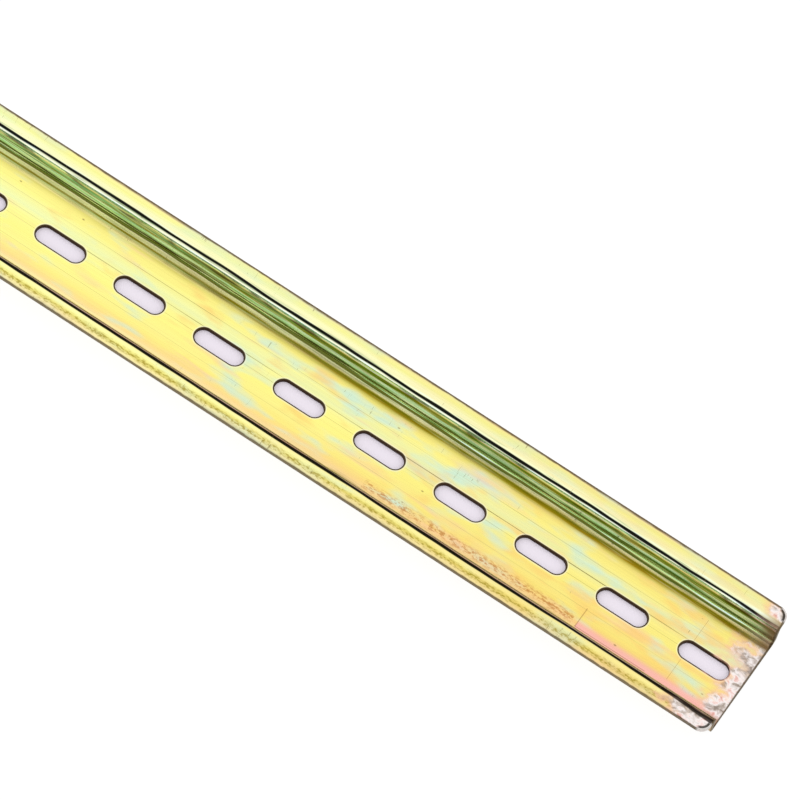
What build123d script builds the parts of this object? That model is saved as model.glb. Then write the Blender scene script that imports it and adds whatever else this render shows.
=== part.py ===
"""Slotted steel mounting rail with a top-hat section, 35 x 7.5 mm.

The rail lies on its back along X with its open side up, +Z. The origin is in
the middle of the back face. Lengths are in millimetres.
"""
import os

from build123d import *

# Section
rail_length = 500.0
rail_width = 35.0        # from lip edge to lip edge
rail_height = 7.5        # from the back face to the face of the lips
channel_width = 25.0     # clear width between the two walls
sheet = 1.0              # thickness of the steel strip
bend_radius = 0.8        # inner radius of all four bends
lip_edge_radius = 0.35   # rolled edge of the strip along both lips

# Row of slots along the middle of the back
slot_length = 12.6       # from end to end of one slot
slot_width = 4.7
slot_pitch = 20.87
least_end_land = 2.5     # metal that stays between a slot and a cut end

# Cut ends
corner_radius = 2.5      # corners of the lips, seen from above


def hat_section():
    """Section of the rail in the YZ plane, one strip with four bends."""
    half_width = rail_width / 2
    wall_back = channel_width / 2 + sheet
    lip_back = rail_height - sheet
    outside_bend = bend_radius + sheet
    with BuildSketch(Plane.YZ) as section:
        with BuildLine():
            back_line = FilletPolyline(
                (-half_width, lip_back),
                (-wall_back, lip_back),
                (-wall_back, 0),
                (wall_back, 0),
                (wall_back, lip_back),
                (half_width, lip_back),
                radius=[bend_radius, outside_bend, outside_bend, bend_radius],
            )
            offset(back_line, amount=sheet, side=Side.LEFT, mode=Mode.ADD)
        make_face()
    return section.sketch


def slot_count():
    """How many slots fit between the two end lands."""
    first_to_last = rail_length - 2 * least_end_land - slot_length
    return int(first_to_last / slot_pitch) + 1


with BuildPart() as rail:
    # Bent strip
    extrude(hat_section(), amount=rail_length / 2, both=True)

    # Corners of the lips and the rolled edges between them
    corners = rail.edges().filter_by(Axis.Z).filter_by_position(
        Axis.Z, rail_height - sheet, rail_height
    )
    lip_reach = (rail_width - channel_width) / 2 - sheet
    fillet(corners, radius=min(corner_radius, 0.8 * lip_reach))
    lip_edges = rail.faces().sort_by(Axis.Y)[0].edges() + rail.faces().sort_by(Axis.Y)[-1].edges()
    fillet(lip_edges.filter_by(Axis.X), radius=lip_edge_radius)

    # Row of slots
    with BuildSketch(Plane.XY):
        with GridLocations(slot_pitch, 0, slot_count(), 1):
            SlotOverall(slot_length, slot_width)
    extrude(amount=sheet, mode=Mode.SUBTRACT)

rail.part.label = "rail"

os.makedirs("parts", exist_ok=True)
export_step(rail.part, "parts/rail.step")

if __name__ == "__main__":
    box = rail.part.bounding_box()
    print("size", box.size, "lowest", box.min)
    print("solids", len(rail.part.solids()), "slots", slot_count())
    print("volume mm3", rail.part.volume)
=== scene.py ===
"""Slotted 35 mm top-hat mounting rail in yellow passivated zinc-plated steel, lying on its back.

The rail is folded up from one strip, punched and cropped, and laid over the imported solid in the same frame:
X along the rail, Y across it, Z out of the back. Lengths in the comments are millimetres.
"""
import math

import bmesh
import bpy
from mathutils import Matrix, Vector


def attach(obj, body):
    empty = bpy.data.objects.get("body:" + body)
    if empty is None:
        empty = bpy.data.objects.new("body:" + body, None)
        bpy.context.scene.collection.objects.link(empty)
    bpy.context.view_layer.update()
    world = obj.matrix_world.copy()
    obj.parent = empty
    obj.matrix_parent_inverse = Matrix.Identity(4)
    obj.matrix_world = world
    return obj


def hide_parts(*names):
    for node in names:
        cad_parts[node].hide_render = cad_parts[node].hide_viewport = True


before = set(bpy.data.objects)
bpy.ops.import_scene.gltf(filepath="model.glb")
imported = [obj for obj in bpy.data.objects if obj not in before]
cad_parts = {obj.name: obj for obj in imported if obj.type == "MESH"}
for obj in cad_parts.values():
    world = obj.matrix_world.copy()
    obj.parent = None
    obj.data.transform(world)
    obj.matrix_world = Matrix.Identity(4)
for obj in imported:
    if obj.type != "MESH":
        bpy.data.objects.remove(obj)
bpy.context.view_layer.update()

MM = 0.001

# Section of the rail and its row of slots, as in the part's source
LENGTH = 500.0
WIDTH = 35.0
HEIGHT = 7.5
CHANNEL = 25.0
SHEET = 1.0
BEND = 0.8
LIP_EDGE = 0.35
SLOT_LENGTH = 12.6
SLOT_WIDTH = 4.7
SLOT_PITCH = 20.87
SLOTS = 24
CORNER = 2.5
ROLLED_IN = 0.25                        # how far the rim of a slot was drawn in by the punch

OUTER_BEND = BEND + SHEET
WALL_BACK = CHANNEL / 2 + SHEET
FLAT_EDGE = WALL_BACK - OUTER_BEND      # where the flat of the back ends and a bend starts
LIP_FLAT = WALL_BACK + BEND             # where the flat of a lip starts
END = LENGTH / 2
STRAIGHT = (SLOT_LENGTH - SLOT_WIDTH) / 2       # half the straight run of a slot
FIRST_SLOT = -(SLOTS - 1) / 2 * SLOT_PITCH
CUT_BREAK = 0.1                         # broken edge round both cuts
RIM_BREAKS = ((SHEET, 0.2), (0.0, 0.07))        # rounded edge of a slot's rim on each face, by the face's height

# Mesh: edge rings beside the bends and between the slots, and the tolerance for places and angles
BESIDE_BEND = 0.15
RING_STEP = 0.9985 * SLOT_PITCH
SLACK = 0.002
SHARP = 40                              # degrees between two faces from which their edge stays sharp


# Modelling tools

def deselect_all():
    """Leaves nothing selected, since an operator acts on all that is."""
    for thing in bpy.context.selected_objects:
        thing.select_set(False)


def pick(piece):
    """Makes one piece the selected and active one."""
    deselect_all()
    piece.select_set(True)
    bpy.context.view_layer.objects.active = piece


def select(piece, kind, test):
    """In edit mode, selects the verts, edges or faces that pass a test and no others."""
    bpy.context.tool_settings.mesh_select_mode = (kind == "verts", kind == "edges", kind == "faces")
    mesh = bmesh.from_edit_mesh(piece.data)
    for group in (mesh.verts, mesh.edges, mesh.faces):
        for item in group:
            item.select = False
    for item in getattr(mesh, kind):
        if test(item):
            item.select_set(True)
    bmesh.update_edit_mesh(piece.data)


def at(vert, axis, value):
    """Whether a vertex lies at a place along an axis, in millimetres."""
    return abs(vert.co[axis] / MM - value) < SLACK


def edge_at(edge, axis, value):
    """Whether both ends of an edge lie at one place along an axis, in millimetres."""
    return all(at(vert, axis, value) for vert in edge.verts)


def cut_across(axis, place):
    """Adds an edge ring where a plane square to an axis crosses the whole piece."""
    normal = [0.0, 0.0, 0.0]
    point = [0.0, 0.0, 0.0]
    normal[axis] = 1.0
    point[axis] = place * MM
    bpy.ops.mesh.select_all(action="SELECT")
    bpy.ops.mesh.bisect(plane_co=point, plane_no=normal)


def apply_modifier(piece, kind, **settings):
    """Adds a modifier with its settings and applies it."""
    pick(piece)
    modifier = piece.modifiers.new(kind.title(), kind)
    for name, value in settings.items():
        setattr(modifier, name, value)
    bpy.ops.object.modifier_apply(modifier=modifier.name)


# Rail

def fold_strip():
    """Folds the back surface of the rail from a flat strip, then gives it the sheet's thickness."""
    bpy.ops.mesh.primitive_plane_add(size=1.0)
    rail = bpy.context.active_object
    rail.name = "yellow_zinc_rail"
    rail.scale = (LENGTH * MM, 2 * WALL_BACK * MM, 1.0)
    bpy.ops.object.transform_apply(location=False, rotation=False, scale=True)
    bpy.ops.object.mode_set(mode="EDIT")
    for side in (-1, 1):
        select(rail, "edges", lambda edge: edge_at(edge, 1, side * WALL_BACK) and edge_at(edge, 2, 0.0))
        bpy.ops.mesh.extrude_region_move(TRANSFORM_OT_translate={"value": (0.0, 0.0, (HEIGHT - SHEET) * MM)})
        bpy.ops.mesh.extrude_region_move(
            TRANSFORM_OT_translate={"value": (0.0, side * (WIDTH / 2 - WALL_BACK) * MM, 0.0)}
        )
    for level, radius in ((0.0, OUTER_BEND), (HEIGHT - SHEET, BEND)):
        select(
            rail,
            "edges",
            lambda edge: edge_at(edge, 2, level) and (edge_at(edge, 1, WALL_BACK) or edge_at(edge, 1, -WALL_BACK)),
        )
        bpy.ops.mesh.bevel(offset=radius * MM, segments=12, profile=0.5, affect="EDGES")

    bpy.ops.mesh.select_all(action="SELECT")
    bpy.ops.mesh.normals_make_consistent(inside=False)
    bpy.ops.object.mode_set(mode="OBJECT")
    facing = max(rail.data.polygons, key=lambda face: face.area).normal.z
    apply_modifier(
        rail, "SOLIDIFY", thickness=SHEET * MM, offset=math.copysign(1.0, facing), use_even_offset=True
    )
    return rail


def slot_punch():
    """A row of round-ended punches: half a cylinder, drawn out to its middle, mirrored and repeated."""
    bpy.ops.mesh.primitive_cylinder_add(
        vertices=64,
        radius=(SLOT_WIDTH / 2 - ROLLED_IN) * MM,
        depth=6 * SHEET * MM,
        location=(STRAIGHT * MM, 0.0, 0.0),
    )
    punch = bpy.context.active_object
    bpy.ops.object.transform_apply(location=True, rotation=False, scale=False)
    bpy.ops.object.mode_set(mode="EDIT")
    bpy.ops.mesh.select_all(action="SELECT")
    bpy.ops.mesh.bisect(plane_co=(STRAIGHT * MM, 0.0, 0.0), plane_no=(1.0, 0.0, 0.0), clear_inner=True)
    select(punch, "edges", lambda edge: edge.is_boundary)
    bpy.ops.mesh.extrude_region_move(TRANSFORM_OT_translate={"value": (-STRAIGHT * MM, 0.0, 0.0)})
    bpy.ops.object.mode_set(mode="OBJECT")
    apply_modifier(punch, "MIRROR", use_axis=(True, False, False), use_clip=True)
    apply_modifier(
        punch,
        "ARRAY",
        count=SLOTS,
        use_relative_offset=False,
        use_constant_offset=True,
        constant_offset_displace=(SLOT_PITCH * MM, 0.0, 0.0),
    )
    punch.location.x = FIRST_SLOT * MM
    pick(punch)
    bpy.ops.object.transform_apply(location=True, rotation=False, scale=False)
    bpy.ops.object.mode_set(mode="EDIT")
    bpy.ops.mesh.select_all(action="SELECT")
    bpy.ops.mesh.normals_make_consistent(inside=False)
    bpy.ops.object.mode_set(mode="OBJECT")
    return punch


def from_slot(x):
    """How far a place along the rail, in millimetres, is from the middle of the nearest slot, with its sign."""
    return (x - FIRST_SLOT + SLOT_PITCH / 2) % SLOT_PITCH - SLOT_PITCH / 2


def on_slot_rim(vert, level):
    """Whether a vertex lies on the outline of a slot at one level."""
    x, y, z = (value / MM for value in vert.co)
    if abs(z - level) > SLACK or abs(y) > SLOT_WIDTH / 2 + 0.01:
        return False
    past = max(abs(from_slot(x)) - STRAIGHT, 0.0)
    return abs(math.hypot(past, y) - SLOT_WIDTH / 2 + ROLLED_IN) < 0.01


def make_rail():
    """The whole rail: folded, cropped, punched and with its edges broken."""
    rail = fold_strip()
    pick(rail)
    bpy.ops.object.mode_set(mode="EDIT")

    # Rounded corners of the lips
    select(
        rail,
        "edges",
        lambda edge: (edge_at(edge, 0, END) or edge_at(edge, 0, -END))
        and (edge_at(edge, 1, WIDTH / 2) or edge_at(edge, 1, -WIDTH / 2)),
    )
    bpy.ops.mesh.bevel(offset=CORNER * MM, segments=10, profile=0.5, affect="EDGES")

    # Rolled edges along the lips
    select(
        rail,
        "edges",
        lambda edge: (edge_at(edge, 1, WIDTH / 2) or edge_at(edge, 1, -WIDTH / 2))
        and abs(edge.verts[0].co.x - edge.verts[1].co.x) > 0.1,
    )
    bpy.ops.mesh.bevel(offset=LIP_EDGE * MM, segments=6, profile=0.5, affect="EDGES")

    # Broken edge all round both cuts
    select(
        rail,
        "edges",
        lambda edge: (edge_at(edge, 0, END) or edge_at(edge, 0, -END))
        and abs(edge.link_faces[0].normal.x - edge.link_faces[1].normal.x) > 0.5,
    )
    bpy.ops.mesh.bevel(offset=CUT_BREAK * MM, segments=2, profile=0.5, affect="EDGES")

    # Edge rings close to each bend keep the flats flat, and rings between the slots keep the faces short
    for place in (FLAT_EDGE - BESIDE_BEND, LIP_FLAT + BESIDE_BEND):
        cut_across(1, place)
        cut_across(1, -place)
    for ring in range(1, SLOTS):
        cut_across(0, (ring - SLOTS / 2) * RING_STEP)
    bpy.ops.object.mode_set(mode="OBJECT")

    # Slots
    punch = slot_punch()
    apply_modifier(rail, "BOOLEAN", operation="DIFFERENCE", solver="EXACT", object=punch)
    bpy.data.objects.remove(punch)
    pick(rail)
    bpy.ops.object.mode_set(mode="EDIT")
    bpy.ops.mesh.select_all(action="SELECT")
    bpy.ops.mesh.remove_doubles(threshold=0.00001)
    for level, edge_break in RIM_BREAKS:
        select(
            rail, "edges", lambda edge: on_slot_rim(edge.verts[0], level) and on_slot_rim(edge.verts[1], level)
        )
        bpy.ops.mesh.bevel(offset=edge_break * MM, segments=4, profile=0.5, affect="EDGES")
    bpy.ops.mesh.select_all(action="SELECT")
    bpy.ops.mesh.normals_make_consistent(inside=False)
    bpy.ops.object.mode_set(mode="OBJECT")
    bpy.ops.object.shade_smooth_by_angle(angle=math.radians(SHARP))
    apply_modifier(rail, "WEIGHTED_NORMAL", keep_sharp=True, weight=100, thresh=0.0001)
    return rail


def unroll(rail):
    """Draws the rail's map: each half of its open side and of its back is rolled out flat, one strip above another.
    The walls of the slots lie in the holes, and the cut and rolled edges lie outside the outline."""
    bend_run = (BEND + SHEET / 2) * math.pi / 2
    wall_start = FLAT_EDGE + bend_run
    lip_bend_start = wall_start + HEIGHT - 2 * OUTER_BEND
    lip_start = lip_bend_start + bend_run
    strip_end = lip_start + WIDTH / 2 - LIP_FLAT

    def unrolled(y, z):
        """How far out along the section a point lies, how deep under its open face, and that face's direction."""
        out, side = abs(y), math.copysign(1.0, y)
        if z > HEIGHT - OUTER_BEND and out > LIP_FLAT:
            return lip_start + out - LIP_FLAT, HEIGHT - z, (0.0, 1.0)
        if z > HEIGHT - OUTER_BEND and out > CHANNEL / 2 - 0.01:
            across, up = LIP_FLAT - out, z - (HEIGHT - OUTER_BEND)
            reach = math.hypot(across, up)
            turned = math.atan2(up, across)
            return (
                lip_bend_start + turned / (math.pi / 2) * bend_run, OUTER_BEND - reach,
                (-side * across / reach, up / reach),
            )
        if z > OUTER_BEND and out > CHANNEL / 2 - 0.01:
            return wall_start + z - OUTER_BEND, out - CHANNEL / 2, (-side, 0.0)
        if out > FLAT_EDGE:
            across, down = out - FLAT_EDGE, OUTER_BEND - z
            reach = math.hypot(across, down)
            turned = math.atan2(across, down)
            return FLAT_EDGE + turned / (math.pi / 2) * bend_run, reach - BEND, (-side * across / reach, down / reach)
        return out, SHEET - z, (0.0, 1.0)

    edge_room = 2 * SHEET       # round the outline, for the cut and rolled edges
    gap = 0.4                   # between two strips of the map
    strip = 2 * (strip_end + edge_room) + gap
    long = END + edge_room + gap
    sheet_map = rail.data.uv_layers.new(name="OFBake")
    for face in rail.data.polygons:
        middle = face.center / MM
        _, _, facing = unrolled(middle.y, middle.z)
        under = face.normal.y * facing[0] + face.normal.z * facing[1] < -0.7
        half = middle.x > 0
        row = 2 * under + half
        for loop in face.loop_indices:
            x, y, z = rail.data.vertices[rail.data.loops[loop].vertex_index].co / MM
            out, depth, _ = unrolled(y, z)
            side = math.copysign(1.0, y)
            if not under and depth > 0.001:
                past_end, past_side = abs(x) - (END - CORNER), out - (strip_end - CORNER)
                along = from_slot(x)
                if past_end > 0 and past_side > 0:
                    reach = max(math.hypot(past_end, past_side), 0.001)
                    x += math.copysign(2 * depth * past_end / reach, x)
                    out += 2 * depth * past_side / reach
                elif abs(x) > END - 0.2:
                    x += math.copysign(2 * depth, x)
                elif out > strip_end - LIP_EDGE - 0.05:
                    out += 2 * depth
                elif out < SLOT_WIDTH / 2 + 0.1:
                    past = max(abs(along) - STRAIGHT, 0.0)
                    reach = max(math.hypot(past, y), 0.001)
                    x -= math.copysign(depth * past / reach, along)
                    out -= depth * abs(y) / reach
            sheet_map.data[loop].uv = (
                (abs(x) if half else long - abs(x)) / long,
                (row * strip + strip / 2 + side * out) / (4 * strip),
            )


# Finish

def linear(hex_colour):
    """An sRGB hex colour as the linear colour that a shader takes."""
    channels = [int(hex_colour[first:first + 2], 16) / 255 for first in (1, 3, 5)]
    return [c / 12.92 if c <= 0.04045 else ((c + 0.055) / 1.055) ** 2.4 for c in channels] + [1.0]


def add_node(tree, kind, settings=None, links=None):
    """Adds a node, sets its properties and sockets, and links its sockets from other nodes or from their outputs."""
    node = tree.nodes.new(kind)
    for name, value in (settings or {}).items():
        if isinstance(name, str) and hasattr(node, name):
            setattr(node, name, value)
        else:
            node.inputs[name].default_value = value
    for name, source in (links or {}).items():
        tree.links.new(source.outputs[0] if hasattr(source, "outputs") else source, node.inputs[name])
    return node


def set_stops(ramp, stops, lowest, highest):
    """Sets a colour ramp's stops from places in the ramp's own unit, each with a hex colour or a grey level."""
    elements = ramp.color_ramp.elements
    while len(elements) > 1:
        elements.remove(elements[-1])
    for number, (place, colour) in enumerate(stops):
        position = (place - lowest) / (highest - lowest)
        stop = elements[0] if number == 0 else elements.new(position)
        stop.position = position
        stop.color = linear(colour) if isinstance(colour, str) else (colour, colour, colour, 1.0)


# Noises of the film and of the painted reflections: name, grain along and across the rail in mm, shift, detail and
# distortion
PATTERNS = (
    ("drift", 120.0, 40.0, 3.0, 1.0, 0.0),
    ("clouds", 14.0, 4.6, 0.0, 2.0, 0.1),
    ("blush", 24.0, 4.0, 7.0, 2.0, 0.2),
    ("drawn", 40.0, 0.32, 0.0, 2.0, 0.0),
    ("waves", 22.0, 2.6, 5.0, 2.0, 0.0),
    ("scuffs", 5.0, 3.4, 0.0, 3.0, 0.0),
    ("amber", 11.0, 4.0, 11.0, 2.0, 0.1),
    ("blotches", 2.2, 1.6, 0.0, 4.0, 0.4),
    ("mottle", 0.9, 0.4, 0.0, 3.0, 0.0),
    ("reflection_streaks", 13.0, 0.62, 2.0, 2.0, 0.0),
    ("dark_reflection_patches", 7.0, 1.6, 13.0, 2.0, 0.0),
    ("nicks", 0.35, 4.0, 9.0, 1.0, 1.2),
)

# Tints of single marks, and of painted shade and reflections
GOLDEN_FILM = "#F8EEE4"                 # laid over the bands where the film is thicker
STRIP_REFLECTION_PALE = "#FFF2A8"
# painted reflection on the strip beside the far wall
PINK_FLUSH = "#F8B2B0"
TAPE_LINE = "#9A6A38"
ROLL_LINE = "#7C6E2C"
SPECK = "#8A6A3A"
NICK = "#86784A"
WEAR_FRINGE = "#F6B8A0"
WALL_END_BROWN = "#947454"
# painted dark reflection along the near fold
FOLD_REFLECTION_BLACK = "#0C0A08"
SLOT_WALL_BROWN = "#3E2814"
OUTLINE_BROWN = "#6C5C42"

# Tint of the film by place across the rail in mm, in bands as it ran through the bath and the rolls. The olive and
# tan bands beside the far wall are a painted reflection of the wall, and the darker rims at the lips' outer edges are
# painted shade
ACROSS_BANDS = (
    (-17.5, "#C9BE8C"), (-17.0, "#F8EBAC"), (-16.7, "#F8E9A0"), (-16.3, "#E6D982"), (-15.9, "#E0D470"),
    (-15.4, "#F8F294"), (-14.8, "#FFFCAA"), (-11.6, "#F2D8AE"), (-10.2, "#F8DEA4"),
    (-9.2, "#FADC98"), (-8.2, "#FBE28C"), (-7.0, "#FCEE88"), (-5.0, "#FCF492"), (-2.0, "#FDF88E"),
    (1.0, "#FDFA98"), (3.2, "#F0F8B4"), (4.6, "#F6F9A8"), (6.5, "#FDF892"), (8.3, "#F8F08A"),
    (9.0, "#E8E07C"), (9.6, "#C8C05A"), (9.95, "#AA901C"), (10.72, "#9A7E08"), (10.9, "#D0B458"),
    (11.15, "#FFEAB8"), (11.6, "#FFF2C8"), (14.6, "#FBFDC4"), (16.0, "#F8F89C"), (16.8, "#FAF4A4"),
    (17.0, "#C8B688"), (17.5, "#BAA882"),
)

# Tint on the walls by height in mm, from green to pale mint and back: painted reflection bands over the film's green,
# up to a painted highlight at the top bend
WALL_TINT_AND_REFLECTIONS = (
    (1.0, "#C0C470"), (1.3, "#D8F8A8"), (1.7, "#ECFFD0"), (2.1, "#E8FFD8"), (2.75, "#B0EEB8"), (3.1, "#A2E4B6"),
    (3.5, "#BCFCF4"), (4.3, "#C8FFFF"), (4.9, "#A4F4E0"), (5.2, "#8CE6C2"), (5.55, "#B4E8C8"), (5.9, "#F8FCF4"),
    (7.5, "#FAFCC8"),
)

# Patches where the film is thinner or thicker: pattern, growth towards the golden end, the pattern's level where a
# patch starts and where it is full, strength and tint
PATCHES = (
    ("clouds", 0.06, 0.52, 0.76, 0.85, "#C8E8D6"),
    ("blush", 0.08, 0.58, 0.82, 0.5, "#F5BBA6"),
    ("amber", 0.16, 0.62, 0.86, 0.7, "#F8CC74"),
)

# Painted reflection streaks: where, pattern, the pattern's level where a streak starts and where it is full, strength
# and tint
REFLECTION_STREAKS = (
    ("on wall", "reflection_streaks", 0.46, 0.34, 0.6, "#3C8446"),
    ("on wall", "reflection_streaks", 0.53, 0.66, 0.85, "#EAFFFA"),
    ("beside wall", "reflection_streaks", 0.46, 0.34, 0.6, "#6E5E10"),
    ("beside wall", "reflection_streaks", 0.54, 0.66, 0.5, "#F0DC9A"),
    ("high on wall", "dark_reflection_patches", 0.48, 0.62, 0.85, "#5C605E"),
)

# A strip of tape kept part of the near side from the bath. It began at this place along the rail and at this one
# across it, and left a pink flush.
TAPE_START = 213.2
TAPE_SIDE = -9.8
SCRATCH = 235.8

# Mottled tan strips: middle and half width across, first and last place along, and tint
TAN_STRIPS = (
    (-8.6, 1.8, 158.0, 212.0, "#BC7A34"),       # along the near side of the back
    (-16.1, 1.1, -260.0, 242.0, "#A08C1E"),     # where the near lip was burnished
)

# Lines that the rolls leave along the back: place across, half width and strength
ROLL_LINES = ((2.1, 0.10, 0.8), (5.5, 0.08, 0.5), (-0.2, 0.07, 0.35), (-5.1, 0.07, 0.25))

# Dark lines along the folds: side, on which face, place across, half width, soft edge, strength and tint. They are
# painted shade in the crease at the foot of a wall, and a painted dark reflection along the bend at its top, with a
# painted pink-brown edge beside the near one.
FOLD_SHADE_AND_REFLECTION_LINES = (
    ("far", "sheet", 12.05, 0.2, 0.16, 0.97, "#666A1C"),
    ("near", "sheet", -12.05, 0.2, 0.16, 0.97, "#666A1C"),
    ("near", "lip", -13.1, 0.4, 0.2, 0.8, "#C88C70"),
    ("far", "lip", 13.33, 0.17, 0.16, 0.99, "#060604"),
    ("near", "lip", -13.86, 0.28, 0.18, 0.99, "#0C0602"),
)

# Round each slot a dark edge of painted shade on the rolled-in rim, over a paler ring of painted highlight: distance
# from the rim where it starts to fade and where it ends, strength and tint
SLOT_RIM_SHADE_AND_HIGHLIGHT = ((0.16, 0.5, 0.5, "#FFFAE0"), (0.05, 0.17, 0.96, "#3A2612"))

# Zinc where the film is rubbed off, by the level of the blotches: smoky, bright and pink
BARE_ZINC = (
    (0.34, "#8E847E"), (0.42, "#BCB2AC"), (0.49, "#E2DAD8"), (0.56, "#FBF6F6"), (0.63, "#F4D6D2"), (0.70, "#DCA49C"),
)

# Rolled edge round the lips' corners, a dark band of painted shade inside a pale rim: distance inside the outline
# where it starts to fade and where it ends, strength and tint
CORNER_SHADE_AND_RIM = ((0.78, 1.02, 0.92, "#2C261C"), (0.28, 0.42, 0.95, "#E6E0DC"))


def past_block(tree, lengthways, sideways, half_length, half_width):
    """How far a point lies past a rectangle."""
    squares = []
    for way, half in ((lengthways, half_length), (sideways, half_width)):
        past = add_node(tree, "ShaderNodeMath", {"operation": "SUBTRACT", 1: half}, {0: way})
        past = add_node(tree, "ShaderNodeMath", {"operation": "MAXIMUM", 1: 0.0}, {0: past})
        squares.append(add_node(tree, "ShaderNodeMath", {"operation": "POWER", 1: 2.0}, {0: past}))
    both = add_node(tree, "ShaderNodeMath", {"operation": "ADD"}, {0: squares[0], 1: squares[1]})
    return add_node(tree, "ShaderNodeMath", {"operation": "SQRT"}, {0: both})


class Spot:
    """Where a point of the rail's surface lies, in millimetres, for the nodes of the finish to link from."""

    def __init__(self, tree):
        place = add_node(tree, "ShaderNodeTexCoord")
        self.point = add_node(
            tree, "ShaderNodeMapping", {"Scale": (1 / MM, 1 / MM, 1 / MM)}, {"Vector": place.outputs["Object"]}
        )
        self.along, self.across, self.height = add_node(
            tree, "ShaderNodeSeparateXYZ", {}, {0: self.point}
        ).outputs
        self.off_middle = add_node(tree, "ShaderNodeMath", {"operation": "ABSOLUTE"}, {0: self.across})
        self.off_centre = add_node(tree, "ShaderNodeMath", {"operation": "ABSOLUTE"}, {0: self.along})
        self.from_end = add_node(tree, "ShaderNodeMath", {"operation": "SUBTRACT", 0: END}, {1: self.off_centre})

        # Shares of the way from the middle to a lip's edge, and up from the back's open face to the lips
        self.to_edge = add_node(
            tree, "ShaderNodeMapRange", {"From Min": 0.0, "From Max": WIDTH / 2}, {"Value": self.off_middle}
        )
        self.up_wall = add_node(
            tree, "ShaderNodeMapRange", {"From Min": SHEET, "From Max": HEIGHT}, {"Value": self.height}
        )

        # Distance from the rim of the nearest slot, and from the outline of the rail seen from above
        to_slot = add_node(tree, "ShaderNodeMath", {"operation": "ADD", 1: -FIRST_SLOT}, {0: self.along})
        to_slot = add_node(tree, "ShaderNodeMath", {"operation": "PINGPONG", 1: SLOT_PITCH / 2}, {0: to_slot})
        past_slot = past_block(tree, to_slot, self.off_middle, STRAIGHT, 0.0)
        self.off_slot = add_node(
            tree, "ShaderNodeMath", {"operation": "SUBTRACT", 1: SLOT_WIDTH / 2}, {0: past_slot}
        )
        past_plate = past_block(tree, self.off_centre, self.off_middle, END - CORNER, WIDTH / 2 - CORNER)
        self.inside = add_node(tree, "ShaderNodeMath", {"operation": "SUBTRACT", 0: CORNER}, {1: past_plate})

        # The open faces of the back and of the lips with their bends, without the outer faces of the walls
        self.above_sheet = add_node(
            tree, "ShaderNodeMath", {"operation": "GREATER_THAN", 1: SHEET - 0.05}, {0: self.height}
        )
        self.above_lip_back = add_node(
            tree, "ShaderNodeMath", {"operation": "GREATER_THAN", 1: HEIGHT - SHEET + 0.15}, {0: self.height}
        )


def grow_patterns(tree, spot):
    """The noises of the film by name."""
    patterns = {}
    for name, long, wide, shift, detail, warp in PATTERNS:
        grid = add_node(
            tree, "ShaderNodeMapping",
            {"Location": (shift, shift, 0.0), "Scale": (1 / long, 1 / wide, 1 / wide)}, {"Vector": spot.point},
        )
        patterns[name] = add_node(
            tree, "ShaderNodeTexNoise", {"Scale": 1.0, "Detail": detail, "Roughness": 0.55, "Distortion": warp},
            {"Vector": grid},
        ).outputs["Fac"]
    return patterns


def tint_flats(tree, spot, patterns, wander):
    """Bands across the rail, a thicker and more golden film towards one end, and mint, pink and amber patches, of
    which there are more towards that end."""
    wandered = add_node(tree, "ShaderNodeMath", {"operation": "ADD"}, {0: spot.across, 1: wander})
    band_place = add_node(
        tree, "ShaderNodeMapRange", {"From Min": -WIDTH / 2, "From Max": WIDTH / 2}, {"Value": wandered}
    )
    film = add_node(tree, "ShaderNodeValToRGB", {}, {0: band_place})
    set_stops(film, ACROSS_BANDS, -WIDTH / 2, WIDTH / 2)

    thicker = add_node(
        tree, "ShaderNodeMapRange", {"From Min": 40.0, "From Max": 240.0, "To Min": -0.15, "To Max": 0.75},
        {"Value": spot.along},
    )
    thicker = add_node(
        tree, "ShaderNodeMath", {"operation": "MULTIPLY_ADD", 1: 0.9}, {0: patterns["drift"], 2: thicker}
    )
    golden = add_node(tree, "ShaderNodeMapRange", {"From Min": 0.35, "From Max": 1.15}, {"Value": thicker})
    film = add_node(
        tree, "ShaderNodeMixRGB", {"blend_type": "MULTIPLY", "Color2": linear(GOLDEN_FILM)},
        {"Fac": golden, "Color1": film},
    )

    # No patches beside the walls, and fewer on the lips
    calmer = add_node(tree, "ShaderNodeValToRGB", {}, {0: spot.to_edge})
    set_stops(calmer, ((0.0, 1.0), (8.8, 1.0), (9.8, 0.0), (14.2, 0.0), (14.8, 0.4), (17.5, 0.4)), 0.0, WIDTH / 2)
    for pattern, growth, start, full, strength, tint in PATCHES:
        grown = add_node(
            tree, "ShaderNodeMath", {"operation": "MULTIPLY_ADD", 1: growth}, {0: golden, 2: patterns[pattern]}
        )
        patch = add_node(
            tree, "ShaderNodeMapRange",
            {"interpolation_type": "SMOOTHSTEP", "From Min": start, "From Max": full, "To Max": strength},
            {"Value": grown},
        )
        patch = add_node(tree, "ShaderNodeMath", {"operation": "MULTIPLY"}, {0: patch, 1: calmer})
        film = add_node(tree, "ShaderNodeMixRGB", {"Color2": linear(tint)}, {"Fac": patch, "Color1": film})
    return film


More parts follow.
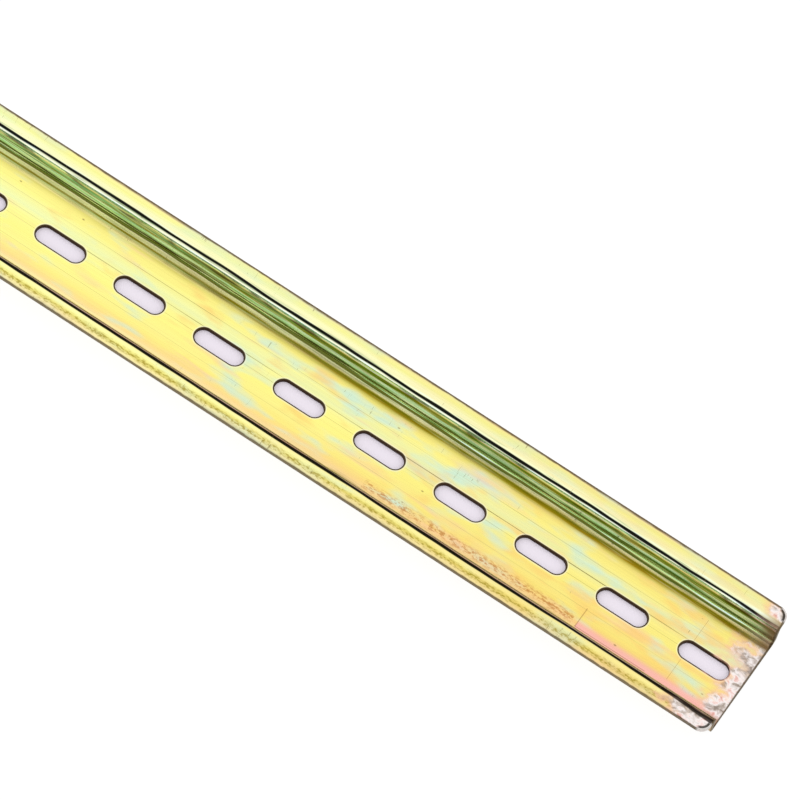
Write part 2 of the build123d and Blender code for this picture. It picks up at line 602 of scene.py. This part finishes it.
def tint_walls(tree, spot, patterns, film):
    """Green and mint up the walls with painted reflection bands and a painted highlight at the top bend, and painted
    reflection streaks on the walls and on the strip beside them. Returns the film and where the walls are."""
    # From the foot of a wall to its top, without its outer face
    rising = add_node(
        tree, "ShaderNodeMapRange", {"interpolation_type": "SMOOTHSTEP", "From Min": 11.75, "From Max": 12.3},
        {"Value": spot.off_middle},
    )
    falling = add_node(
        tree, "ShaderNodeMapRange",
        {"interpolation_type": "SMOOTHSTEP", "From Min": 13.5, "From Max": 14.3, "To Min": 1.0, "To Max": 0.0},
        {"Value": spot.off_middle},
    )
    on_wall = add_node(tree, "ShaderNodeMath", {"operation": "MULTIPLY"}, {0: rising, 1: falling})
    past_inner = add_node(tree, "ShaderNodeMath", {"operation": "GREATER_THAN", 1: 13.3}, {0: spot.off_middle})
    under_lip = add_node(tree, "ShaderNodeMath", {"operation": "LESS_THAN", 1: 6.75}, {0: spot.height})
    outer_face = add_node(tree, "ShaderNodeMath", {"operation": "MULTIPLY"}, {0: past_inner, 1: under_lip})
    on_wall = add_node(
        tree, "ShaderNodeMath", {"operation": "SUBTRACT", "use_clamp": True}, {0: on_wall, 1: outer_face}
    )
    # Painted reflection bands and highlight up the walls
    wall_tint_and_reflections = add_node(tree, "ShaderNodeValToRGB", {}, {0: spot.up_wall})
    set_stops(wall_tint_and_reflections, WALL_TINT_AND_REFLECTIONS, SHEET, HEIGHT)
    film = add_node(tree, "ShaderNodeMixRGB", {}, {"Fac": on_wall, "Color1": film, "Color2": wall_tint_and_reflections})

    # Painted reflection: the strip beside the far wall is paler towards the middle of the rail, on either side of its
    # dark line
    paler = add_node(
        tree, "ShaderNodeMapRange", {"interpolation_type": "SMOOTHSTEP", "From Min": 150.0, "From Max": 70.0},
        {"Value": spot.along},
    )
    either_side = add_node(tree, "ShaderNodeValToRGB", {}, {0: spot.to_edge})
    set_stops(
        either_side,
        ((9.2, 0.0), (9.6, 0.6), (10.4, 0.6), (10.65, 0.0), (10.9, 0.0), (11.15, 0.7), (11.7, 0.7), (12.0, 0.0)),
        0.0, WIDTH / 2,
    )
    paler = add_node(tree, "ShaderNodeMath", {"operation": "MULTIPLY"}, {0: paler, 1: either_side})
    film = add_node(tree, "ShaderNodeMixRGB", {"Color2": linear(STRIP_REFLECTION_PALE)}, {"Fac": paler, "Color1": film})

    beside_wall = add_node(tree, "ShaderNodeValToRGB", {}, {0: spot.to_edge})
    set_stops(beside_wall, ((9.2, 0.0), (9.9, 0.6), (11.8, 0.6), (12.0, 0.0)), 0.0, WIDTH / 2)
    high_on_wall = add_node(tree, "ShaderNodeValToRGB", {}, {0: spot.up_wall})
    set_stops(high_on_wall, ((4.6, 0.0), (5.3, 1.0), (6.3, 1.0), (6.8, 0.0)), SHEET, HEIGHT)
    high_on_wall = add_node(tree, "ShaderNodeMath", {"operation": "MULTIPLY"}, {0: high_on_wall, 1: on_wall})
    masks = {"on wall": on_wall, "beside wall": beside_wall, "high on wall": high_on_wall}
    # Painted reflection streaks on the walls and on the strip beside them
    for where, pattern, start, full, strength, tint in REFLECTION_STREAKS:
        streak = add_node(
            tree, "ShaderNodeMapRange", {"From Min": start, "From Max": full, "To Max": strength},
            {"Value": patterns[pattern]},
        )
        streak = add_node(tree, "ShaderNodeMath", {"operation": "MULTIPLY"}, {0: streak, 1: masks[where]})
        film = add_node(tree, "ShaderNodeMixRGB", {"Color2": linear(tint)}, {"Fac": streak, "Color1": film})
    return film, on_wall


def tint_near_side(tree, spot, patterns, film):
    """The pink flush and straight edges that a strip of tape left, a scratch, and the mottled tan strips."""
    flush = add_node(
        tree, "ShaderNodeMapRange",
        {"interpolation_type": "SMOOTHSTEP", "From Min": -7.6, "From Max": TAPE_SIDE + 0.5, "To Max": 0.8},
        {"Value": spot.across},
    )
    taped = add_node(
        tree, "ShaderNodeMapRange", {"From Min": TAPE_START - 0.2, "From Max": TAPE_START + 0.2},
        {"Value": spot.along},
    )
    near_back = add_node(tree, "ShaderNodeMath", {"operation": "GREATER_THAN", 1: -12.0}, {0: spot.across})
    flush = add_node(tree, "ShaderNodeMath", {"operation": "MULTIPLY"}, {0: flush, 1: taped})
    flush = add_node(tree, "ShaderNodeMath", {"operation": "MULTIPLY"}, {0: flush, 1: near_back})
    film = add_node(tree, "ShaderNodeMixRGB", {"Color2": linear(PINK_FLUSH)}, {"Fac": flush, "Color1": film})

    # Each line's place and half width, and the middle and half length of its run
    for way, line, half, other, middle, half_run in (
        (spot.along, TAPE_START, 0.12, spot.across, -7.3, 2.6),
        (spot.across, TAPE_SIDE, 0.1, spot.along, 222.0, 9.0),
        (spot.along, SCRATCH, 0.05, spot.across, 0.0, 8.6),
    ):
        edge = add_node(tree, "ShaderNodeMath", {"operation": "COMPARE", 1: line, 2: half}, {0: way})
        run = add_node(tree, "ShaderNodeMath", {"operation": "COMPARE", 1: middle, 2: half_run}, {0: other})
        edge = add_node(tree, "ShaderNodeMath", {"operation": "MULTIPLY"}, {0: edge, 1: run})
        edge = add_node(tree, "ShaderNodeMath", {"operation": "MULTIPLY", 1: 0.5}, {0: edge})
        film = add_node(tree, "ShaderNodeMixRGB", {"Color2": linear(TAPE_LINE)}, {"Fac": edge, "Color1": film})

    speckled = add_node(
        tree, "ShaderNodeMapRange",
        {"interpolation_type": "SMOOTHSTEP", "From Min": 0.44, "From Max": 0.62, "To Max": 0.8},
        {"Value": patterns["mottle"]},
    )
    for line, half, first, last, tan in TAN_STRIPS:
        off_line = add_node(tree, "ShaderNodeMath", {"operation": "SUBTRACT", 1: line}, {0: spot.across})
        off_line = add_node(tree, "ShaderNodeMath", {"operation": "ABSOLUTE"}, {0: off_line})
        in_strip = add_node(
            tree, "ShaderNodeMapRange",
            {"interpolation_type": "SMOOTHSTEP", "From Max": half, "To Min": 1.0, "To Max": 0.0}, {"Value": off_line},
        )
        in_run = add_node(
            tree, "ShaderNodeMath", {"operation": "COMPARE", 1: (first + last) / 2, 2: (last - first) / 2},
            {0: spot.along},
        )
        here = add_node(tree, "ShaderNodeMath", {"operation": "MULTIPLY"}, {0: in_strip, 1: in_run})
        here = add_node(tree, "ShaderNodeMath", {"operation": "MULTIPLY"}, {0: here, 1: speckled})
        film = add_node(tree, "ShaderNodeMixRGB", {"Color2": linear(tan)}, {"Fac": here, "Color1": film})
    return film


def draw_lines(tree, spot, patterns, swayed, film):
    """Fine drawing marks, the lines that the rolls leave along the back, and the painted shade and dark reflections
    along the folds.
    """
    drawn_light = add_node(
        tree, "ShaderNodeMapRange", {"From Min": 0.3, "From Max": 0.7, "To Min": 0.96, "To Max": 1.03},
        {"Value": patterns["drawn"]},
    )
    marks = add_node(tree, "ShaderNodeVectorMath", {"operation": "SCALE"}, {0: film, "Scale": drawn_light})

    for line, half, strength in ROLL_LINES:
        line_here = add_node(
            tree, "ShaderNodeMath", {"operation": "COMPARE", 1: line, 2: half}, {0: spot.across}
        )
        broken = add_node(
            tree, "ShaderNodeMapRange", {"From Min": 0.35, "From Max": 0.6, "To Min": 0.1, "To Max": strength},
            {"Value": patterns["waves"]},
        )
        line_here = add_node(tree, "ShaderNodeMath", {"operation": "MULTIPLY"}, {0: line_here, 1: broken})
        marks = add_node(tree, "ShaderNodeMixRGB", {"Color2": linear(ROLL_LINE)}, {"Fac": line_here, "Color1": marks})

    # The lines of the far fold drift towards the middle of the rail as they near the cut
    drifted = add_node(
        tree, "ShaderNodeMapRange", {"From Min": 100.0, "From Max": 240.0, "To Min": -0.12, "To Max": 0.25},
        {"Value": spot.along},
    )
    drifted = add_node(tree, "ShaderNodeMath", {"operation": "ADD"}, {0: drifted, 1: swayed})
    ways = {"near": swayed, "far": drifted}
    faces = {"sheet": spot.above_sheet, "lip": spot.above_lip_back}
    # Painted shade in the creases and painted dark reflections along the bends
    for side, face, line, half, soft, strength, tint in FOLD_SHADE_AND_REFLECTION_LINES:
        off_line = add_node(tree, "ShaderNodeMath", {"operation": "SUBTRACT", 1: line}, {0: ways[side]})
        off_line = add_node(tree, "ShaderNodeMath", {"operation": "ABSOLUTE"}, {0: off_line})
        line_here = add_node(
            tree, "ShaderNodeMapRange",
            {"interpolation_type": "SMOOTHSTEP", "From Min": half, "From Max": half + soft, "To Min": strength,
             "To Max": 0.0},
            {"Value": off_line},
        )
        line_here = add_node(tree, "ShaderNodeMath", {"operation": "MULTIPLY"}, {0: line_here, 1: faces[face]})
        marks = add_node(tree, "ShaderNodeMixRGB", {"Color2": linear(tint)}, {"Fac": line_here, "Color1": marks})
    return marks


def mark_flaws(tree, spot, patterns, marks):
    """Specks where the film didn't take, short nicks across the back, and round each slot a painted shade on its rim
    inside a painted highlight ring.
    """
    cells = add_node(
        tree, "ShaderNodeMapping", {"Scale": (1 / 9.0, 1 / 5.0, 1 / 5.0)}, {"Vector": spot.point}
    )
    specks = add_node(tree, "ShaderNodeTexVoronoi", {"Scale": 1.0, "Randomness": 1.0}, {"Vector": cells})
    speck_here = add_node(
        tree, "ShaderNodeMapRange", {"From Min": 0.02, "From Max": 0.05, "To Min": 0.7, "To Max": 0.0},
        {"Value": specks.outputs["Distance"]},
    )
    marks = add_node(tree, "ShaderNodeMixRGB", {"Color2": linear(SPECK)}, {"Fac": speck_here, "Color1": marks})

    crowded = add_node(
        tree, "ShaderNodeMath", {"operation": "MULTIPLY_ADD", 1: 0.6}, {0: patterns["clouds"], 2: patterns["nicks"]}
    )
    nicked = add_node(
        tree, "ShaderNodeMapRange", {"From Min": 1.09, "From Max": 1.14, "To Max": 0.6}, {"Value": crowded}
    )
    marks = add_node(tree, "ShaderNodeMixRGB", {"Color2": linear(NICK)}, {"Fac": nicked, "Color1": marks})

    # Painted shade on each slot's rim, and a painted highlight ring round it
    for inner, outer, strength, ring in SLOT_RIM_SHADE_AND_HIGHLIGHT:
        ring_here = add_node(
            tree, "ShaderNodeMapRange",
            {"interpolation_type": "SMOOTHSTEP", "From Min": inner, "From Max": outer, "To Min": strength,
             "To Max": 0.0},
            {"Value": spot.off_slot},
        )
        marks = add_node(tree, "ShaderNodeMixRGB", {"Color2": linear(ring)}, {"Fac": ring_here, "Color1": marks})
    return marks


def wear_ends(tree, spot, patterns, marks):
    """Film rubbed through to zinc at the cuts, with a pink fringe, and the walls there darker brown. It is worn
    further in along the near lip and less on the far one. Returns the marks and where the zinc is bare."""
    reach = add_node(
        tree, "ShaderNodeMapRange", {"From Min": 0.3, "From Max": 0.7, "To Min": -4.5, "To Max": 4.0},
        {"Value": patterns["scuffs"]},
    )
    lip_reach = add_node(
        tree, "ShaderNodeMapRange",
        {"interpolation_type": "SMOOTHSTEP", "From Min": -13.5, "From Max": -14.5, "To Max": -4.0},
        {"Value": spot.across},
    )
    far_reach = add_node(
        tree, "ShaderNodeMapRange",
        {"interpolation_type": "SMOOTHSTEP", "From Min": 13.5, "From Max": 14.5, "To Max": 1.6},
        {"Value": spot.across},
    )
    ragged = spot.from_end
    for change in (reach, lip_reach, far_reach):
        ragged = add_node(tree, "ShaderNodeMath", {"operation": "ADD"}, {0: ragged, 1: change})

    # The back and the lips lie open to wear, and the walls and folds hardly
    open_places = add_node(tree, "ShaderNodeValToRGB", {}, {0: spot.to_edge})
    set_stops(
        open_places, ((0.0, 1.0), (9.2, 1.0), (10.2, 0.1), (14.1, 0.1), (14.6, 1.0), (17.5, 1.0)), 0.0, WIDTH / 2
    )
    worn = add_node(
        tree, "ShaderNodeMapRange",
        {"interpolation_type": "SMOOTHSTEP", "From Min": 1.6, "From Max": 6.2, "To Min": 0.92, "To Max": 0.0},
        {"Value": ragged},
    )
    worn = add_node(tree, "ShaderNodeMath", {"operation": "MULTIPLY"}, {0: worn, 1: open_places})
    fringe = add_node(
        tree, "ShaderNodeMapRange",
        {"interpolation_type": "SMOOTHSTEP", "From Min": 4.0, "From Max": 9.5, "To Min": 0.6, "To Max": 0.0},
        {"Value": ragged},
    )
    fringe = add_node(tree, "ShaderNodeMath", {"operation": "MULTIPLY"}, {0: fringe, 1: open_places})
    marks = add_node(tree, "ShaderNodeMixRGB", {"Color2": linear(WEAR_FRINGE)}, {"Fac": fringe, "Color1": marks})
    # The walls and folds are painted darker brown within a few mm of the cuts
    browned = add_node(
        tree, "ShaderNodeMapRange",
        {"interpolation_type": "SMOOTHSTEP", "From Min": 0.3, "From Max": 6.0, "To Min": 0.85, "To Max": 0.0},
        {"Value": spot.from_end},
    )
    covered = add_node(tree, "ShaderNodeMath", {"operation": "SUBTRACT", 0: 1.0}, {1: open_places})
    browned = add_node(tree, "ShaderNodeMath", {"operation": "MULTIPLY"}, {0: browned, 1: covered})
    marks = add_node(tree, "ShaderNodeMixRGB", {"Color2": linear(WALL_END_BROWN)}, {"Fac": browned, "Color1": marks})
    bare = add_node(tree, "ShaderNodeValToRGB", {}, {0: patterns["blotches"]})
    set_stops(bare, BARE_ZINC, 0.0, 1.0)
    marks = add_node(tree, "ShaderNodeMixRGB", {}, {"Fac": worn, "Color1": marks, "Color2": bare})
    return marks, worn


def paint_near_fold_reflection(tree, spot, swayed, marks):
    """A painted dark reflection along the near fold, which widens towards the cut."""
    half = add_node(tree, "ShaderNodeMath", {"operation": "MULTIPLY_ADD", 1: -0.06, 2: 0.7}, {0: spot.from_end})
    off_line = add_node(tree, "ShaderNodeMath", {"operation": "SUBTRACT", 1: -14.15}, {0: swayed})
    off_line = add_node(tree, "ShaderNodeMath", {"operation": "ABSOLUTE"}, {0: off_line})
    past = add_node(tree, "ShaderNodeMath", {"operation": "SUBTRACT"}, {0: off_line, 1: half})
    black = add_node(
        tree, "ShaderNodeMapRange",
        {"interpolation_type": "SMOOTHSTEP", "From Min": -0.15, "From Max": 0.1, "To Min": 0.9, "To Max": 0.0},
        {"Value": past},
    )
    black = add_node(tree, "ShaderNodeMath", {"operation": "MULTIPLY"}, {0: black, 1: spot.above_lip_back})
    return add_node(tree, "ShaderNodeMixRGB", {"Color2": linear(FOLD_REFLECTION_BLACK)}, {"Fac": black, "Color1": marks})


def darken_edges(tree, spot, patterns, marks):
    """Dark brown on the punched walls of the slots, an uneven dark line along the outline, and painted shade along
    the rolled edge at the lips' corners. Returns the marks and where the slot walls and outline are rougher."""
    # The punched walls of the slots are painted dark brown
    in_slot = add_node(
        tree, "ShaderNodeMath", {"operation": "LESS_THAN", 1: SLOT_WIDTH / 2 + 0.3}, {0: spot.off_middle}
    )
    under_face = add_node(
        tree, "ShaderNodeMapRange",
        {"interpolation_type": "SMOOTHSTEP", "From Min": 0.9, "From Max": 0.995, "To Min": 1.0, "To Max": 0.0},
        {"Value": spot.height},
    )
    above_back = add_node(tree, "ShaderNodeMath", {"operation": "GREATER_THAN", 1: 0.03}, {0: spot.height})
    punched = add_node(tree, "ShaderNodeMath", {"operation": "MULTIPLY"}, {0: in_slot, 1: under_face})
    punched = add_node(tree, "ShaderNodeMath", {"operation": "MULTIPLY"}, {0: punched, 1: above_back})
    marks = add_node(tree, "ShaderNodeMixRGB", {"Color2": linear(SLOT_WALL_BROWN)}, {"Fac": punched, "Color1": marks})

    # The dark line along the outline is uneven, and broader on the near side
    uneven = add_node(
        tree, "ShaderNodeMath", {"operation": "MULTIPLY_ADD", 1: -0.5}, {0: patterns["blotches"], 2: spot.inside}
    )
    broader = add_node(
        tree, "ShaderNodeMapRange", {"From Min": -15.0, "From Max": 15.0, "To Min": 0.14, "To Max": -0.12},
        {"Value": spot.across},
    )
    uneven = add_node(tree, "ShaderNodeMath", {"operation": "ADD"}, {0: uneven, 1: broader})
    cut = add_node(
        tree, "ShaderNodeMapRange",
        {"interpolation_type": "SMOOTHSTEP", "From Min": -0.05, "From Max": 0.24, "To Min": 0.88, "To Max": 0.0},
        {"Value": uneven},
    )
    marks = add_node(tree, "ShaderNodeMixRGB", {"Color2": linear(OUTLINE_BROWN)}, {"Fac": cut, "Color1": marks})

    near_corner = []
    for way, start in ((spot.off_centre, END - CORNER), (spot.off_middle, WIDTH / 2 - CORNER - 0.6)):
        near_corner.append(
            add_node(tree, "ShaderNodeMapRange", {"From Min": start, "From Max": start + 0.6}, {"Value": way})
        )
    at_corner = add_node(tree, "ShaderNodeMath", {"operation": "MULTIPLY"}, {0: near_corner[0], 1: near_corner[1]})
    # Painted shade along the rolled edge of each corner, inside a pale rim
    for inner, outer, strength, tint in CORNER_SHADE_AND_RIM:
        rolled = add_node(
            tree, "ShaderNodeMapRange", {"From Min": inner, "From Max": outer, "To Min": strength, "To Max": 0.0},
            {"Value": spot.inside},
        )
        rolled = add_node(tree, "ShaderNodeMath", {"operation": "MULTIPLY"}, {0: rolled, 1: at_corner})
        marks = add_node(tree, "ShaderNodeMixRGB", {"Color2": linear(tint)}, {"Fac": rolled, "Color1": marks})
    return marks, add_node(tree, "ShaderNodeMath", {"operation": "MAXIMUM"}, {0: punched, 1: cut})


def dull_places(tree, spot, patterns, worn, rough_edges):
    """Roughness of bright zinc, duller where it is drawn, stretched beside the bends, worn, and on the slot walls and
    the outline.
    """
    sheen = add_node(
        tree, "ShaderNodeMapRange", {"From Min": 0.3, "From Max": 0.7, "To Min": 0.06, "To Max": 0.13},
        {"Value": patterns["drawn"]},
    )
    toward_fold = add_node(
        tree, "ShaderNodeMapRange", {"From Min": 9.0, "From Max": 12.0}, {"Value": spot.off_middle}
    )
    beside = add_node(tree, "ShaderNodeValToRGB", {}, {0: toward_fold})
    set_stops(beside, ((9.0, 0.0), (10.2, 0.35), (10.7, 0.4), (11.0, 1.0), (12.0, 1.0)), 9.0, 12.0)
    on_back = add_node(
        tree, "ShaderNodeMapRange",
        {"interpolation_type": "SMOOTHSTEP", "From Min": 1.02, "From Max": 1.3, "To Min": 0.42, "To Max": 0.0},
        {"Value": spot.height},
    )
    dull = add_node(tree, "ShaderNodeMath", {"operation": "MULTIPLY_ADD"}, {0: beside, 1: on_back, 2: sheen})
    for where, more in ((rough_edges, 0.45), (worn, 0.25)):
        dull = add_node(tree, "ShaderNodeMath", {"operation": "MULTIPLY_ADD", 1: more}, {0: where, 2: dull})
    return dull


def rolled_relief(tree, patterns, on_wall, worn):
    """Long shallow waves from the rolls, strongest on the walls and bends, and scuffs at the cuts."""
    wavy = add_node(tree, "ShaderNodeMapRange", {"To Min": 0.12, "To Max": 1.0}, {"Value": on_wall})
    waves = add_node(
        tree, "ShaderNodeBump", {"Distance": 0.12 * MM}, {"Strength": wavy, "Height": patterns["waves"]}
    )
    scuffed = add_node(tree, "ShaderNodeMath", {"operation": "MULTIPLY"}, {0: patterns["scuffs"], 1: worn})
    return add_node(
        tree, "ShaderNodeBump", {"Strength": 0.5, "Distance": 0.06 * MM}, {"Height": scuffed, "Normal": waves}
    )


def yellow_chromated_zinc():
    """Yellow chromate film on bright zinc: a mirror-like metal whose tint shifts between lemon, gold, mint and
    pink with the film's thickness, drawn out in lengthwise bands, and rubbed through to silver at the cuts.
    Reflections on the walls and shade in the folds are painted into its colour."""
    metal = bpy.data.materials.new("yellow_chromated_zinc_plated_steel")
    metal.use_nodes = True
    tree = metal.node_tree
    shader = tree.nodes["Principled BSDF"]
    shader.inputs["Metallic"].default_value = 1.0
    spot = Spot(tree)
    patterns = grow_patterns(tree, spot)

    # Bands and lines wander a little across the rail
    wander = add_node(
        tree, "ShaderNodeMapRange", {"From Min": 0.3, "From Max": 0.7, "To Min": -0.25, "To Max": 0.25},
        {"Value": patterns["waves"]},
    )
    swayed = add_node(
        tree, "ShaderNodeMath", {"operation": "MULTIPLY_ADD", 1: 0.7}, {0: wander, 2: spot.across}
    )

    film = tint_flats(tree, spot, patterns, wander)
    film, on_wall = tint_walls(tree, spot, patterns, film)
    film = tint_near_side(tree, spot, patterns, film)
    marks = draw_lines(tree, spot, patterns, swayed, film)
    marks = mark_flaws(tree, spot, patterns, marks)
    marks, worn = wear_ends(tree, spot, patterns, marks)
    # Painted dark reflection along the near fold
    marks = paint_near_fold_reflection(tree, spot, swayed, marks)
    marks, rough_edges = darken_edges(tree, spot, patterns, marks)
    dull = dull_places(tree, spot, patterns, worn, rough_edges)
    relief = rolled_relief(tree, patterns, on_wall, worn)
    for part, socket in ((marks, "Base Color"), (dull, "Roughness"), (relief, "Normal")):
        tree.links.new(part.outputs[0], shader.inputs[socket])
    return metal


def lit_paper(name, colour, scatter, lift):
    """Matt paper of the studio table. It keeps the shadow and is lifted towards white as seen and reflected."""
    paper = bpy.data.materials.new(name)
    paper.use_nodes = True
    tree = paper.node_tree
    tree.nodes.clear()
    output = add_node(tree, "ShaderNodeOutputMaterial")
    level = [scatter * channel for channel in linear(colour)[:3]] + [1.0]
    matt = add_node(tree, "ShaderNodeBsdfDiffuse", {"Color": level})
    path = add_node(tree, "ShaderNodeLightPath")
    seen = add_node(
        tree, "ShaderNodeMath", {"operation": "MAXIMUM"},
        {0: path.outputs["Is Camera Ray"], 1: path.outputs["Is Glossy Ray"]},
    )
    seen = add_node(
        tree, "ShaderNodeMath", {"operation": "MAXIMUM"},
        {0: seen, 1: path.outputs["Is Transmission Ray"]},
    )
    strength = add_node(tree, "ShaderNodeMath", {"operation": "MULTIPLY", 1: lift}, {0: seen})
    glow = add_node(tree, "ShaderNodeEmission", {"Color": linear(colour)}, {"Strength": strength})
    both = add_node(tree, "ShaderNodeAddShader", {}, {0: matt, 1: glow})
    tree.links.new(both.outputs[0], output.inputs["Surface"])
    return paper


rail = make_rail()
unroll(rail)
rail.data.materials.clear()
rail.data.materials.append(yellow_chromated_zinc())
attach(rail, "root")
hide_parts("rail")

# Table, and a strip of grey lilac paper under the row of slots: a painted shade for the floor seen through them in
# the rail's shadow
for name, long, wide, drop, paper in (
    ("table", 4.0, 4.0, 0.00004, lit_paper("matt_white_paper", "#FFFFFF", 0.16, 0.9)),
    ("shade_slip", 0.498, 0.018, 0.00002, lit_paper("lilac_painted_shade_paper", "#F0E8F2", 0.9, 0.2)),
):
    deselect_all()
    bpy.ops.mesh.primitive_plane_add(size=1.0, location=(0.0, 0.0, -drop))
    piece = bpy.context.active_object
    piece.name = name
    piece.scale = (long, wide, 1.0)
    piece.data.materials.append(paper)

# Light: a softbox overhead between two grey cards that run along the rail. The levels go by the angle across the
# rail in degrees, from the near side over the top to the far side.
SKY = (
    (-90, 0.85), (-75, 0.9), (-62, 0.78), (-48, 0.78), (-37, 1.06), (16, 1.08), (28, 0.95), (38, 0.78), (52, 0.78),
    (62, 0.95), (72, 1.08), (90, 1.08),
)
world = bpy.data.worlds.new("studio")
bpy.context.scene.world = world
world.use_nodes = True
tree = world.node_tree
tree.nodes.clear()
output = add_node(tree, "ShaderNodeOutputWorld")
where = add_node(tree, "ShaderNodeTexCoord")
axes = add_node(tree, "ShaderNodeSeparateXYZ", {}, {0: where.outputs["Generated"]})
flipped = add_node(tree, "ShaderNodeMath", {"operation": "MULTIPLY", 1: -1.0}, {0: axes.outputs["Y"]})
angle = add_node(tree, "ShaderNodeMath", {"operation": "ARCTAN2"}, {0: flipped, 1: axes.outputs["Z"]})
share = add_node(
    tree, "ShaderNodeMapRange", {"From Min": -math.pi / 2, "From Max": math.pi / 2}, {"Value": angle}
)
cards = add_node(tree, "ShaderNodeValToRGB", {}, {0: share})
set_stops(cards, SKY, -90, 90)
path = add_node(tree, "ShaderNodeLightPath")
studio = add_node(tree, "ShaderNodeBackground", {}, {"Color": cards})
white = add_node(tree, "ShaderNodeBackground", {"Color": (1.0, 1.0, 1.0, 1.0), "Strength": 1.0})
shown = add_node(
    tree, "ShaderNodeMixShader", {},
    {0: path.outputs["Is Camera Ray"], 1: studio, 2: white},
)
tree.links.new(shown.outputs[0], output.inputs["Surface"])

# Camera at the photograph's place
camera_data = bpy.data.cameras.new("camera")
camera = bpy.data.objects.new("camera", camera_data)
bpy.context.scene.collection.objects.link(camera)
camera_data.sensor_width = 36.0
camera_data.lens = 310.018
camera_data.clip_start = 0.05
camera_data.clip_end = 20.0
right = Vector((0.83027052, 0.54382715, 0.12207744))
down = Vector((0.53570464, -0.71817301, -0.44412618))
look = Vector((-0.15385515, 0.43414232, -0.8876086))
turn = Matrix((right, -down, -look)).transposed()
stand = Vector((382.5512, -633.6328, 1322.6242)) * MM
camera.matrix_world = Matrix.Translation(stand) @ turn.to_4x4()
bpy.context.scene.camera = camera

bpy.context.scene.view_settings.view_transform = "Standard"

bpy.context.view_layer.update()
